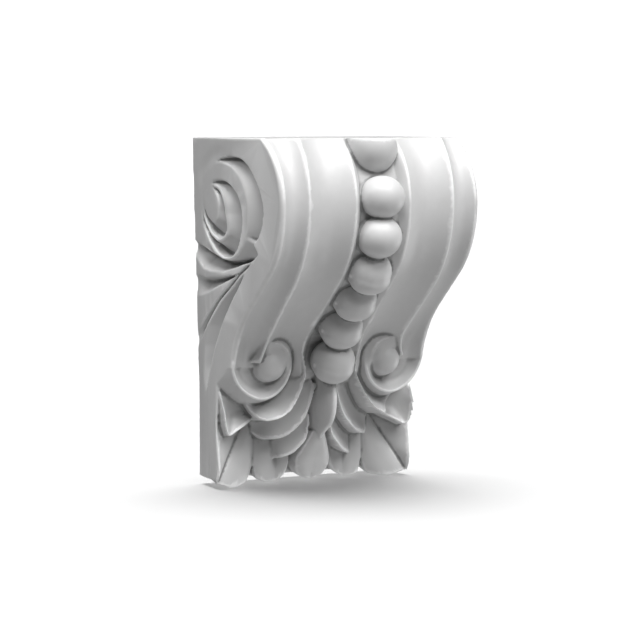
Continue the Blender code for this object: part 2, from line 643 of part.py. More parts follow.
def plaster():
    material = bpy.data.materials.new("plaster")
    material.use_nodes = True
    shader = material.node_tree.nodes["Principled BSDF"]
    shader.inputs["Base Color"].default_value = PLASTER_COLOUR
    shader.inputs["Roughness"].default_value = PLASTER_ROUGHNESS
    shader.inputs["Metallic"].default_value = 0.0
    return material


def gather(name, objects):
    """Collection of hidden shapes that a Boolean reads."""
    group = bpy.data.collections.new(name)
    bpy.context.scene.collection.children.link(group)
    for made in objects:
        for old in list(made.users_collection):
            old.objects.unlink(made)
        group.objects.link(made)
        made.hide_render = True
        made.display_type = "WIRE"
    return group


def carve(target, name, operation, group):
    modifier = target.modifiers.new(name, "BOOLEAN")
    modifier.operation = operation
    modifier.operand_type = "COLLECTION"
    modifier.collection = group
    modifier.solver = "MANIFOLD"


def top_saw():
    """Block above the flat top, which trims the bands and the cut bead level."""
    corners = [(x, y, z) for x in (-2 * HALF_WIDTH, 2 * HALF_WIDTH) for y in (-2 * BELLY_OUT, BELLY_OUT)
               for z in (HEIGHT / 2, HEIGHT / 2 + 10 * OVERRUN)]
    faces = [(0, 1, 3, 2), (4, 6, 7, 5), (0, 4, 5, 1), (2, 3, 7, 6), (0, 2, 6, 4), (1, 5, 7, 3)]
    return outward(make_object("top_saw", corners, faces))


for old in list(bpy.data.objects):
    bpy.data.objects.remove(old)

corbel = outward(body())
corbel.data.materials.append(plaster())
cuts = side_cuts() + side_flutes() + [volute_seat()]
cuts += [mirrored(cut) for cut in cuts]
paired = [volute(), volute_eye(), volute_tail(), scroll_leaf(), second_leaf(), third_leaf(), outer_tongue(),
          corner_leaf(), low_leaf()]
paired += [mirrored(form) for form in paired]
single = beads() + [middle_leaf(), stem()]
carve(corbel, "side carving", "DIFFERENCE", gather("side cuts", cuts))
carve(corbel, "front carving", "UNION", gather("front forms", paired + single))
carve(corbel, "top trimming", "DIFFERENCE", gather("trimming", [top_saw()]))
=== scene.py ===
import bpy
import numpy as np
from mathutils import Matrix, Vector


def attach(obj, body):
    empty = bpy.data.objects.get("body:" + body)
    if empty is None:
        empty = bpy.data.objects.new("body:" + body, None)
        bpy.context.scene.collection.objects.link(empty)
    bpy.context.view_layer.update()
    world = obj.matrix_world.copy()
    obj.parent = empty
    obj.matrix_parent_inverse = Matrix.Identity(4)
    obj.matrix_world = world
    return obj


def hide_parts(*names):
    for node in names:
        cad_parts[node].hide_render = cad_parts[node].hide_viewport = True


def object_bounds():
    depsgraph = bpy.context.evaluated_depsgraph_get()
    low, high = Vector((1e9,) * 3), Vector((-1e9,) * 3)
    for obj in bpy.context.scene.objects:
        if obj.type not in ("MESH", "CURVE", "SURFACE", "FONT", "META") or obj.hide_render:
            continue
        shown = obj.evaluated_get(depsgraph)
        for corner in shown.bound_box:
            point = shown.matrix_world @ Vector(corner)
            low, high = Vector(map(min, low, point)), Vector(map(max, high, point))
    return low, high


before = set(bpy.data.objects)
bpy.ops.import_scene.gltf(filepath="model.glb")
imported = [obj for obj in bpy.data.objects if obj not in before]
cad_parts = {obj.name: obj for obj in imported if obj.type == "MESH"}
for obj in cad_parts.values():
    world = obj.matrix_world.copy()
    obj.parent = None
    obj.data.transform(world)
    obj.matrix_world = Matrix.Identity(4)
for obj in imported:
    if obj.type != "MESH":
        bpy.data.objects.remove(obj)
cad_low, cad_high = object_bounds()

# Back plate and bands.
# A thick flat-backed plate carries two bands that swell out at the top and sweep in to a neck.
# It is plaster cast in a rubber mould, so every arris is a little soft. Everything is drawn in millimetres.
DRAWN_HEIGHT = 250.0
METRE = (cad_high.z - cad_low.z) / DRAWN_HEIGHT
HALF_WIDTH = 81.0
BACK_HALF_TOP = 80.2
BACK_HALF_FOOT = 75.0
BACK_TAPER_UP = 62.5
TAPER_REACH = 45.0
# Each ogee: belly's depth and height, its radius above and below, then the neck's depth, height and radius
SHOULDER = (128.1, 203.2, 53.6, 68.4, 55.7, 73.5, 75.3)
ARRIS = (129.2, 205.3, 69.4, 87.3, 57.7, 82.2, 38.9)
CREST = (130.3, 204.7, 58.3, 78.0, 56.5, 83.1, 40.6)
SHOULDER_ROUND = 3.5
LIP_ROUND = 1.0
ARRIS_ACROSS = 58.7
ARRIS_NECK_ACROSS = 56.3
OUTER_COVE = 5.5
NECK_COVE = 6.5
INNER_COVE = 7.0
# Heights between which the bands open out above the neck
OPENING_UP = (100.0, 150.0)
GROOVE_HALF = 22.1
GROOVE_NECK_HALF = 23.7
GROOVE_DEPTH = 6.0
GROOVE_SLOPE = 6.5
GROOVE_BOW = 1.3
PLATE_FOOT = 6.0
PLATE_MIDDLE_UP = 50.0
PLATE_OUT = 21.0
PLATE_OUT_MIDDLE = 25.0
PLATE_OUT_NECK = 40.0
LIP_OUT = 36.0
LIP_BOW = 3
# Height of the ledge where each band ends, and the heights between which its outer and inner parts fade
LEDGE_UP = 86.0
OUTER_END_UP = (82.0, 89.0)
INNER_END_UP = (60.0, 84.0)
# Distance between two level sections, and the points of a section's side, shoulder, coves and groove wall
LEVEL_STEP = 0.8
SIDE_POINTS = 140
SHOULDER_POINTS = 10
OUTER_POINTS = 18
INNER_POINTS = 34
WALL_POINTS = 9


def place(points):
    """World places of (across, up, out) points. Out is away from the wall, and the origin is mid-back."""
    points = np.asarray(points, float)
    drawn = np.stack([points[..., 0], -points[..., 2], points[..., 1] - DRAWN_HEIGHT / 2], axis=-1)
    return drawn * METRE


def ease(value, low, high):
    """Smooth step from 0 at low to 1 at high: three times the square less twice the cube."""
    t = np.clip((value - low) / (high - low), 0, 1)
    return t * t * (3 - 2 * t)


def soft_max(a, b, width):
    """The larger of two depths, plus their overlap squared over four widths, which rounds the corner."""
    overlap = np.clip(width - np.abs(a - b), 0, None)
    return np.maximum(a, b) + overlap ** 2 / (4 * np.maximum(width, 1e-6))


def smooth_path(points, count):
    """Catmull-Rom curve through the points, read at evenly spaced parameters."""
    points = np.asarray(points, float)
    last = len(points) - 1
    along = np.linspace(0, last, count)
    start = np.minimum(along.astype(int), last - 1)
    u = (along - start)[:, None]
    before, here = points[np.maximum(start - 1, 0)], points[start]
    there, after = points[start + 1], points[np.minimum(start + 2, last)]
    return 0.5 * (2 * here + (there - before) * u + (2 * before - 5 * here + 4 * there - after) * u ** 2
                  + (3 * here - before - 3 * there + after) * u ** 3)


def grid_faces(rows, columns, wrap):
    """Four-sided faces between neighbours of a grid. With wrap, the last column also meets the first."""
    i, j = np.meshgrid(np.arange(rows - 1), np.arange(columns if wrap else columns - 1), indexing="ij")
    k = (j + 1) % columns
    return np.stack([i * columns + j, i * columns + k, (i + 1) * columns + k, (i + 1) * columns + j],
                    axis=-1).reshape(-1, 4)


def make_form(name, vertices, faces):
    """Closed form from world points and faces, turned right side out if its volume comes out negative."""
    mesh = bpy.data.meshes.new(name)
    mesh.from_pydata(vertices.tolist(), [], faces)
    mesh.validate()
    made = bpy.data.objects.new(name, mesh)
    bpy.context.scene.collection.objects.link(made)
    mesh.calc_loop_triangles()
    corners = np.empty(len(mesh.loop_triangles) * 3, np.int32)
    mesh.loop_triangles.foreach_get("vertices", corners)
    a, b, c = np.moveaxis(np.asarray(vertices)[corners.reshape(-1, 3)], 1, 0)
    if np.einsum("ij,ij->i", a, np.cross(b, c)).sum() < 0:
        mesh.flip_normals()
    return made


def loft(name, rings):
    """Skin over a row of rings of (across, up, out) points, with a flat face at each end."""
    count, around = rings.shape[:2]
    faces = grid_faces(count, around, True).tolist()
    faces.append(list(range(around))[::-1])
    faces.append(list(range((count - 1) * around, count * around)))
    return make_form(name, place(rings).reshape(-1, 3), faces)


def ogee_out(up, ogee):
    """Depth of an ogee at each height: a belly arc, its tangent to the neck, and the neck's hollow arc."""
    belly_out, belly_up, radius_above, radius_below, neck_out, neck_up, neck_radius = ogee
    belly = np.array([belly_out - radius_below, belly_up])
    neck = np.array([neck_out + neck_radius, neck_up])
    between = neck - belly
    lean = np.arctan2(-between[1], between[0]) - np.arccos((radius_below + neck_radius) / np.hypot(*between))
    normal = np.array([np.cos(lean), -np.sin(lean)])
    top, foot = belly + radius_below * normal, neck - neck_radius * normal
    above = belly_out - radius_above + np.sqrt(np.maximum(radius_above ** 2 - (up - belly_up) ** 2, 0))
    below = belly[0] + np.sqrt(np.maximum(radius_below ** 2 - (up - belly_up) ** 2, 0))
    straight = np.interp(up, [foot[1], top[1]], [foot[0], top[0]])
    hollow = neck[0] - np.sqrt(np.maximum(neck_radius ** 2 - np.maximum(up - neck_up, 0) ** 2, 0))
    out = np.where(up > belly_up, above, below)
    out = np.where(up < top[1], straight, out)
    return np.where(up < foot[1], hollow, out)


def plate_out(up):
    """Depth of the plate behind the leaves, straight between three heights."""
    return np.interp(up, [PLATE_FOOT, PLATE_MIDDLE_UP, LEDGE_UP],
                     [PLATE_OUT, PLATE_OUT_MIDDLE, PLATE_OUT_NECK])


def back_half(up):
    """Half width at the wall, straight from where its taper starts to the top."""
    return np.interp(up, [BACK_TAPER_UP, DRAWN_HEIGHT], [BACK_HALF_FOOT, BACK_HALF_TOP])


# Carving of the sides.
# Each side has a scroll of two ribbons round a raised eye, flutes that fan out from the waist to the wall,
# and a long hollow leaf below them. They are cut into the clay model with gouges, so each has one steep wall.
RIBBON_CENTRE = np.array([45.0, 199.0])
INNER_RIBBON_CENTRE = np.array([35.0, 197.0])
EYE_CENTRE = np.array([28.5, 203.0])
SCROLL_DEPTH = 11.0
# Radius of each ribbon's outer crest, and of the crease beyond it, at bearings round its centre. The bearings
# run from the front upwards
OUTER_CREST = ([-166, -146, -123, -100, -83, -67, -52, -37, -23, -9, 25, 56, 74, 94, 111, 126, 138],
               [33.2, 31.6, 31.8, 32.9, 34.6, 36.5, 37.5, 38.0, 37.4, 36.4, 35.1, 33.8, 33.2, 34.0, 35.7,
                39.0, 43.0])
OUTER_CREASE = ([-110, -85, -70, -55, -42, -35, -29.5, -27, -17, -9, 0, 8, 17, 28, 41, 52, 64, 83, 99, 112],
                [33.6, 36.5, 39.5, 44.0, 51.0, 55.0, 57.2, 48.1, 53.6, 56.0, 57.3, 55.9, 53.6, 50.4, 47.6,
                 44.7, 41.0, 36.8, 35.3, 36.2])
INNER_CREST = ([-180, -138, -100, -74, -54, -37, -26, 0, 36, 61, 85, 102],
               [19.2, 15.8, 17.5, 20.5, 22.2, 23.4, 22.0, 16.4, 16.1, 17.9, 19.7, 20.7])
INNER_CREASE = ([-172, -133, -101, -79, -63, -50, -37, -18, -6, 7, 22, 39, 56, 79, 101],
                [20.3, 18.9, 22.2, 28.3, 34.2, 37.2, 38.9, 38.2, 37.8, 36.5, 33.7, 29.3, 25.9, 22.8, 21.2])
EYE_CREST = ([-148, -103, -68, -44, -20, 16, 63, 93, 130, 169],
             [9.7, 10.3, 13.4, 13.2, 11.6, 11.3, 11.4, 12.6, 12.7, 12.8])
EYE_CREASE = ([-158, -104, -77, -63, -50, -38, -28, -19, 4, 28, 66],
              [11.6, 15.7, 21.8, 26.3, 27.9, 28.0, 25.0, 21.0, 17.7, 15.2, 12.0])
# Depth of each crease at bearings round the same centre
OUTER_DEPTHS = ([-130, -105, -85, -45, 0, 40, 70, 95, 112],
                SCROLL_DEPTH * np.array([0, 0.25, 0.65, 1.0, 1.0, 0.85, 0.6, 0.25, 0]))
INNER_DEPTHS = ([-180, -150, -120, -90, -45, 0, 45, 75, 95, 110],
                SCROLL_DEPTH * np.array([0.05, 0.2, 0.45, 0.8, 1.0, 0.9, 0.7, 0.35, 0.15, 0]))
EYE_DEPTHS = ([-175, -150, -110, -60, 0, 45, 66, 80],
              SCROLL_DEPTH * np.array([0.05, 0.15, 0.4, 0.7, 0.65, 0.5, 0.3, 0]))
CREASE_BOW = 1.15
CREASE_WALL = (-0.3, 1.0)
# A faint hollow outside the scroll: its depth, its radii, the bearings where it starts and ends, and how far
# out from the wall it starts
HALO_DEPTH = 0.8
HALO_RADII = (32, 40, 48)
HALO_START = (70, 105)
HALO_END = (140, 165)
HALO_OUT = (4, 16)
# Where the flutes meet, and how far from there and from the wall they reach their depth
WAIST_OUT = 84.0
WAIST_FADE = 6.0
FLUTE_FADE = 18.0
WALL_SHARE = 0.2
# Each flute: its upper and lower line as (out, up), its depth, and the share of its width where it is deepest
FLUTES = (
    (((0, 8, 20, 32, 45, 60, 75, 88), (176.5, 174.5, 171.5, 167.7, 164.6, 164.6, 167.5, 169)),
     ((0, 8, 15.5, 27.4, 45, 63.7, 82, 88), (166, 160.9, 157, 155.5, 155.6, 159.4, 164.4, 166)), 11.0, 0.35),
    (((0, 8, 20, 42, 63.7, 70.8, 84), (151.6, 151.6, 150.8, 152, 154.5, 156.9, 164)),
     ((0, 6.4, 12.4, 24.3, 42, 63.7, 71, 84),
      (136, 136.5, 137.5, 140.4, 146.3, 153.4, 156.4, 163.6)), 6.6, 0.30),
    (((0, 9.3, 19.8, 42, 63.7, 75.1, 85), (109, 116.4, 123.6, 139.4, 152.4, 159.6, 165)),
     ((0, 10.7, 19.7, 41.9, 56.5, 70.8, 86.3), (98, 107.3, 116.5, 135.7, 145, 154.9, 162.6)), 4.5, 0.45),
)
# The long leaf: its depth, its steep edge and its inner edge as (up, out), and the heights where it fades
VALLEY_DEPTH = 8.0
VALLEY_EDGE = ((66, 71.4, 84.7, 103.3, 123.3, 136.7, 145.6, 157.3, 162),
               (17, 19.4, 24, 34.4, 47.7, 59.3, 67.9, 77.9, 85))
VALLEY_INSIDE = ((66, 76.7, 87.5, 102, 116.8, 133.6, 143.6, 153.5, 160),
                 (14, 12.5, 13, 15.2, 23, 41, 55.5, 69.8, 82))
VALLEY_DEEPEST = 0.85
VALLEY_BOW = 1.2
VALLEY_FOOT = (66, 90)
VALLEY_HEAD = (138, 160)


def polar(out, up, centre):
    """Distance from a centre on the side, and angle above the horizontal towards the front, in degrees."""
    forward, above = out - centre[0], up - centre[1]
    return np.hypot(forward, above), np.degrees(np.arctan2(above, forward))


def by_angle(angle, angles, values):
    """Value at an angle round a scroll, straight between the few angles at which it is given."""
    return np.interp(angle, angles, values, period=360)


def ribbon_cut(out, up, centre, crest, crease, depths):
    """Depth of the groove outside a ribbon: a sine from nothing at the crest to the crease, then a wall."""
    distance, angle = polar(out, up, centre)
    radius = by_angle(angle, *crest)
    edge = np.maximum(by_angle(angle, *crease), radius + 0.5)
    depth = by_angle(angle, *depths)
    t = np.clip((distance - radius) / (edge - radius), 0, 1)
    slope = np.where(distance > radius, np.sin(0.5 * np.pi * t) ** CREASE_BOW, 0)
    wall = 1 - ease(distance, edge + CREASE_WALL[0], edge + CREASE_WALL[1])
    return depth * slope * wall


def flute_cut(out, up, upper_line, lower_line, depth, deepest):
    """Depth of a flute: a sine down from its upper line, a cosine up to its lower one, faded at both ends."""
    upper, lower = np.interp(out, *upper_line), np.interp(out, *lower_line)
    t = np.clip((upper - up) / np.maximum(upper - lower, 0.2), 0, 1)
    falling = np.sin(0.5 * np.pi * t / deepest)
    rising = np.cos(0.5 * np.pi * (t - deepest) / (1 - deepest))
    from_wall = WALL_SHARE + (1 - WALL_SHARE) * ease(out, 0, FLUTE_FADE)
    fade = ease(WAIST_OUT + WAIST_FADE - out, 0, FLUTE_FADE) * from_wall
    return depth * fade * np.where(t < deepest, falling, rising)


def valley_cut(out, up):
    """Depth of the long leaf's hollow: a fall from its inner edge, then a steep wall, faded at both ends."""
    edge, inside = np.interp(up, *VALLEY_EDGE), np.interp(up, *VALLEY_INSIDE)
    t = np.clip((out - inside) / np.maximum(edge - inside, 0.5), 0, 1)
    fall = np.where(t < VALLEY_DEEPEST, t / VALLEY_DEEPEST, 1 - ease(t, VALLEY_DEEPEST, 1))
    return VALLEY_DEPTH * fall ** VALLEY_BOW * ease(up, *VALLEY_FOOT) * (1 - ease(up, *VALLEY_HEAD))


def halo_cut(out, up):
    """Depth of the faint hollow outside the scroll: smooth steps in radius, in bearing and in distance."""
    distance, angle = polar(out, up, RIBBON_CENTRE)
    ring = ease(distance, *HALO_RADII[:2]) * (1 - ease(distance, *HALO_RADII[1:]))
    arc = ease(angle, *HALO_START) * (1 - ease(angle, *HALO_END))
    return HALO_DEPTH * ring * arc * ease(out, *HALO_OUT)


def side_carving(out, up):
    """How deep the side is cut at each (out, up), which is the deepest of all the cuts."""
    cuts = [ribbon_cut(out, up, RIBBON_CENTRE, OUTER_CREST, OUTER_CREASE, OUTER_DEPTHS),
            ribbon_cut(out, up, INNER_RIBBON_CENTRE, INNER_CREST, INNER_CREASE, INNER_DEPTHS),
            ribbon_cut(out, up, EYE_CENTRE, EYE_CREST, EYE_CREASE, EYE_DEPTHS),
            halo_cut(out, up), valley_cut(out, up)]
    cuts += [flute_cut(out, up, *flute) for flute in FLUTES]
    return np.maximum.reduce(cuts)


def side_across(out, up):
    """Half width of the carved side at each (out, up). It narrows to the wall by the nearness squared."""
    short = np.clip(1 - out / TAPER_REACH, 0, 1) ** 2
    return HALF_WIDTH - (HALF_WIDTH - back_half(up)) * short - side_carving(out, up)


def body_rings():
    """Level sections: carved side, quarter circle, sine cove, arris, sine cove, crest and groove wall."""
    up = np.arange(PLATE_FOOT, DRAWN_HEIGHT + LEVEL_STEP / 2, LEVEL_STEP)[:, None]
    up[-1] = DRAWN_HEIGHT
    banded = ease(up, *OUTER_END_UP)
    level = np.maximum(up, LEDGE_UP)
    inside = ease(up, *INNER_END_UP)
    crest = plate_out(up) * (1 - inside) + ogee_out(level, CREST) * inside
    shoulder = LIP_OUT * (1 - banded) + ogee_out(level, SHOULDER) * banded
    arris = plate_out(up) * (1 - banded) + ogee_out(level, ARRIS) * banded
    raised = ease(up, *OPENING_UP)
    cove = NECK_COVE + (OUTER_COVE - NECK_COVE) * raised
    arris_across = ARRIS_NECK_ACROSS + (ARRIS_ACROSS - ARRIS_NECK_ACROSS) * raised
    groove_half = GROOVE_NECK_HALF + (GROOVE_HALF - GROOVE_NECK_HALF) * raised
    round_off = LIP_ROUND + (SHOULDER_ROUND - LIP_ROUND) * banded

    share = np.linspace(0, 1, SIDE_POINTS)[None, :-1]
    side_out = share * (shoulder - round_off)
    side = side_across(side_out, up + 0 * share)
    turn = np.linspace(0, np.pi / 2, SHOULDER_POINTS)[None, :]
    round_across = HALF_WIDTH - round_off * (1 - np.cos(turn))
    round_out = shoulder - round_off * (1 - np.sin(turn))
    share = np.linspace(0, 1, OUTER_POINTS)[None, 1:]
    outer_across = (HALF_WIDTH - round_off) * (1 - share) + arris_across * share
    fall = share * banded + (1 - (1 - share) ** LIP_BOW) * (1 - banded)
    outer_out = shoulder * (1 - fall) + arris * fall - banded * cove * np.sin(np.pi * share)
    share = np.linspace(0, 1, INNER_POINTS)[None, 1:]
    inner_across = arris_across * (1 - share) + groove_half * share
    inner_out = arris * (1 - share) + crest * share - inside * INNER_COVE * np.sin(np.pi * share)
    inner_out = volute_seat(inner_across, up + 0 * share, inner_out)
    share = np.linspace(0, 1, WALL_POINTS)[None, 1:]
    wall_across = groove_half - GROOVE_SLOPE * share
    wall_out = crest - inside * GROOVE_DEPTH * share ** GROOVE_BOW
    across = np.hstack([side, round_across, outer_across, inner_across, wall_across])
    out = np.hstack([side_out, round_out, outer_out, inner_out, wall_out])
    half = np.stack([across, up + 0 * across, out], axis=-1)
    return np.concatenate([half, half[:, ::-1] * (-1, 1, 1)], axis=1)


# Volutes.
# The outer roll of each band curls under itself, and its hollow winds once round a ball that swells out of
# the inner channel. Each is modelled as one spiral relief on a disc with a sloping outer wall.
VOLUTE_ACROSS = 55.0
VOLUTE_UP = 88.0
VOLUTE_OUT = 57.5
VOLUTE_ROOT = 30.0
VOLUTE_DRAFT = 0.28
WALL_INSET = 0.1
WALL_CARVING = 0.5
# Radius of the rim. Angles run from the outer side downwards and inwards, in degrees
RIM = ([-15, 0, 20, 40, 65, 92, 114, 143, 170, 186, 205, 222, 240, 265, 285, 310, 330],
       [26.2, 24.6, 23.4, 22.6, 22.6, 24.0, 24.2, 24.2, 24.4, 25.2, 26.2, 25.6, 23.6, 21.4, 20.6,
        23.0, 25.5])
RIM_AVERAGE = 12
RIM_ROUND = 1.3
RIM_ROUND_FROM = 0.955
# The rim rises on its inner side and dips where the outer arris comes in over it
RIM_RISE = 1.5
RIM_RISE_START = (160, 220)
RIM_RISE_END = (260, 285)
RIM_DIP = 9.0
RIM_DIP_START = (282, 300)
RIM_DIP_END = (335, 350)
SWEEP_SLOPE = 0.20
SWEEP_DOWN = 15.0
SWEEP_UP = 30.0
# The ball's place beside and above the disc's middle, and its size
BALL_PLACE = np.array([-7.0, 1.4])
BALL_RADIUS = 12.4
BALL_OUT = 64.3
BALL_DEPTH = 12.0
BALL_SKIRT = 3.0
# The channel runs between two shares of the rim's radius, and turns count from where it opens
CHANNEL_TURN = 70
CHANNEL_SHARES = (0.60, 0.96)
CHANNEL_DEPTH = 6.5
CHANNEL_BOW = 1.2
CHANNEL_START = (0, 20)
CHANNEL_END = (200, 262)
# The channel's tail swells up into the ball
TAIL_START = (235, 270)
TAIL_END = (345, 358)
TAIL_FALL = 4.0
TAIL_FALL_SHARES = (0.80, 1.0)
TAIL_BLEND = 9.0
TAIL_BLEND_SHARES = (0.35, 0.7)
BALL_BLEND = 0.5
# The crease round the volute in the inner channel: its reach past the rim, its depth and where it ends
SEAT_REACH = (0.2, 3.2)
SEAT_DEPTH = 8.0
SEAT_END = (188, 212)
# The arris's end: its path as (across, up, out), its half width from first to last, its depth and its bow
TIP_PATH = ((56.3, 111, 69.5), (56.5, 105, 65.8), (57.4, 99, 63.0), (59.0, 93.6, 61.8), (60.0, 91.4, 61.0))
TIP_HALF = (3.0, 3.8)
TIP_DEPTH = 7.0
TIP_BOW = 1.5
# Points round the volute, across its face and down its wall, and the share of the rim where its face starts
VOLUTE_POINTS = (200, 48, 22)
VOLUTE_START = 0.02


def rim_radius(angle):
    """Radius of the volute's rim, a little open spiral: the mean of the radii at nine nearby angles."""
    shifts = np.linspace(-RIM_AVERAGE, RIM_AVERAGE, 9)
    return np.mean([by_angle(angle + shift, *RIM) for shift in shifts], axis=0)


def volute_seat(across, up, out):
    """Lower the inner channel just round the volute, by a smooth step in distance, to a crease round it."""
    beside, below = np.abs(across) - VOLUTE_ACROSS, VOLUTE_UP - up
    angle = np.degrees(np.arctan2(below, beside))
    rim = rim_radius(angle)
    near = 1 - ease(np.hypot(beside, below), rim + SEAT_REACH[0], rim + SEAT_REACH[1])
    near = near * (1 - ease(angle % 360, *SEAT_END))
    return out - near * np.maximum(out - (VOLUTE_OUT - SEAT_DEPTH), 0)


def volute_relief(angle, share, beside, below):
    """Depth on the disc at each angle and share: the ball's dome or the rim with its channel, if prouder."""
    from_ball = np.hypot(beside - BALL_PLACE[0], below + BALL_PLACE[1])
    dome = BALL_DEPTH * np.sqrt(np.clip(1 - (from_ball / BALL_RADIUS) ** 2, 0, None))
    dome = BALL_OUT - BALL_DEPTH + dome - BALL_SKIRT * np.clip(from_ball - BALL_RADIUS, 0, None)
    turn = (angle + CHANNEL_TURN) % 360
    channel = ease(turn, *CHANNEL_START) * (1 - ease(turn, *CHANNEL_END))
    dip = ease(angle, *RIM_DIP_START) * (1 - ease(angle, *RIM_DIP_END))
    rise = ease(angle, *RIM_RISE_START) * (1 - ease(angle, *RIM_RISE_END))
    inner, outer = CHANNEL_SHARES
    t = np.clip((share - inner) / (outer - inner), 0, 1)
    relief = VOLUTE_OUT + RIM_RISE * rise - RIM_DIP * dip
    relief = relief - CHANNEL_DEPTH * channel * np.cos(0.5 * np.pi * t) ** CHANNEL_BOW
    tail = ease(turn, *TAIL_START) * (1 - ease(turn, *TAIL_END))
    relief = relief - TAIL_FALL * tail * ease(share, *TAIL_FALL_SHARES)
    relief = relief - RIM_ROUND * np.clip((share - RIM_ROUND_FROM) / (1 - RIM_ROUND_FROM), 0, 1) ** 2
    sweep = np.clip(below, -SWEEP_UP, SWEEP_DOWN)
    relief = relief - SWEEP_SLOPE * (sweep - np.maximum(sweep, 0) ** 2 / (2 * SWEEP_DOWN))
    return soft_max(dome, relief, BALL_BLEND + TAIL_BLEND * tail * ease(share, *TAIL_BLEND_SHARES))


def volute():
    """Polar grid over the disc, carried down a straight wall that leans out by the draft."""
    around, across_face, down_wall = VOLUTE_POINTS
    angle = np.linspace(0, 360, around, endpoint=False)[:, None]
    share = np.linspace(VOLUTE_START, 1, across_face)[None, :]
    rim = rim_radius(angle)
    cosine, sine = np.cos(np.radians(angle)), np.sin(np.radians(angle))
    beside, below = rim * share * cosine, rim * share * sine
    out = volute_relief(angle, share, beside, below)
    top = np.stack([VOLUTE_ACROSS + beside, VOLUTE_UP - below, out], axis=-1)
    steps = np.linspace(0, 1, down_wall)[None, 1:]
    wall_out = out[:, -1:] * (1 - steps) + VOLUTE_ROOT * steps
    wall_radius = rim + VOLUTE_DRAFT * (out[:, -1:] - wall_out)
    wall_across = VOLUTE_ACROSS + wall_radius * cosine
    wall_up = VOLUTE_UP - wall_radius * sine
    side = side_across(wall_out, wall_up) - WALL_INSET - WALL_CARVING * side_carving(wall_out, wall_up)
    wall = np.stack([np.minimum(wall_across, side), wall_up, wall_out], axis=-1)
    return loft("volute", np.concatenate([top, wall], axis=1).transpose(1, 0, 2))


def bowed(wave):
    """A sine or cosine raised to the tip's bow with its sign kept, which hollows the sides of a diamond."""
    return np.sign(wave) * np.abs(wave) ** TIP_BOW


def arris_tip():
    """End of the outer arris, which drifts out over the ball: diamonds with hollow sides along a path."""
    path = smooth_path(TIP_PATH, 24)
    turn = np.linspace(0, 2 * np.pi, 40, endpoint=False)[None, :]
    half = np.linspace(*TIP_HALF, len(path))[:, None]
    across = path[:, :1] + half * bowed(np.cos(turn))
    out = path[:, 2:] - TIP_DEPTH + TIP_DEPTH * bowed(np.sin(turn))
    return loft("arris_tip", np.stack([across, path[:, 1:2] + 0 * turn, out], axis=-1))


# Bead string.
# Round beads lie in a groove between the bands, cast with them, each lapping the one below it. The top one is
# larger and cut off level, and the lower ones have a swollen lip and a nub at each end.
BEAD_RADII = (16.4, 15.0, 15.0)
BEAD_PITCH = 28.0
BEAD_SINK = 2.8
BEAD_TOP_GAP = 13.5
LAST_BEAD_UP = 91.7
LAST_BEAD_PROUD = 4.3
BEAD_SETTLING = 40.0
CUT_BEAD_RADIUS = 18.0
CUT_BEAD_DROP = 7.0
CUT_BEAD_SINK = 2.0
# The lip of each bead below a height: its size, and its place by distance and bearing from the bead's centre
LIP_TOP = 172.0
LIP_RADII = (15.4, 11.5, 11.5)
LIP_REACH = 5.5
LIP_BEARING = np.radians(-75)
# The nubs at a bead's ends: their size, and their place across, below and out from the bead's centre
NUB_RADIUS = 2.6
NUB_PLACE = (14.2, 2.5, 1.5)


def ball(name, centre, radii, around=64, rings=40):
    """Egg: circles whose radius and height follow the latitude's cosine and sine, nearly to the poles."""
    tilt = np.linspace(-0.49 * np.pi, 0.49 * np.pi, rings)[:, None]
    turn = np.linspace(0, 2 * np.pi, around, endpoint=False)[None, :]
    across = centre[0] + radii[0] * np.cos(tilt) * np.cos(turn)
    up = centre[1] + radii[1] * np.sin(tilt) + 0 * turn
    out = centre[2] - radii[2] * np.cos(tilt) * np.sin(turn)
    return loft(name, np.stack([across, up, out], axis=-1))


def bead_centres():
    """Places a bead's pitch apart along the crest's ogee, a little sunk but for the last, which is proud."""
    up = np.linspace(LAST_BEAD_UP, DRAWN_HEIGHT, 400)
    out = ogee_out(up, CREST)
    run, rise = np.gradient(out), np.gradient(up)
    length = np.hypot(run, rise)
    settled = ease(up, LAST_BEAD_UP, LAST_BEAD_UP + BEAD_SETTLING)
    lift = LAST_BEAD_PROUD - (LAST_BEAD_PROUD + BEAD_SINK) * settled
    out, up = out + lift * rise / length, up - lift * run / length
    travelled = np.concatenate([[0], np.cumsum(np.hypot(np.diff(out), np.diff(up)))])
    highest = DRAWN_HEIGHT - CUT_BEAD_DROP - CUT_BEAD_RADIUS - BEAD_TOP_GAP
    places = np.arange(0, np.interp(highest, up, travelled) + BEAD_PITCH / 2, BEAD_PITCH)
    return np.stack([np.interp(places, travelled, up), np.interp(places, travelled, out)], axis=-1)


def bead_lips():
    """An egg a little lower than each of the lower beads, and a small ball at each end of the bead."""
    made = []
    for up, out in bead_centres():
        if up < LIP_TOP:
            low, proud = up + LIP_REACH * np.sin(LIP_BEARING), out + LIP_REACH * np.cos(LIP_BEARING)
            made.append(ball("lip", (0, low, proud), LIP_RADII))
            for side in (-1, 1):
                centre = (side * NUB_PLACE[0], up - NUB_PLACE[1], out + NUB_PLACE[2])
                made.append(ball("nub", centre, [NUB_RADIUS] * 3, around=20, rings=14))
    return made


# Leaf apron.
# Gouged acanthus leaves fan out under the volutes on both sides of a ribbed middle leaf. Each is a hollow
# surface between a crisp lower edge and a root line that runs under the leaf above it.
LEAF_ROOT = 8.0
LEAF_DRAFT = 0.10
ROOT_LIMIT = BACK_HALF_FOOT - 0.6
ROOT_KNEE = 0.75 * ROOT_LIMIT
UNDERCUT_FOOT = PLATE_FOOT + 0.8
UNDERCUT_HEAD = 30.0
STEM_MIDDLE = 27.0


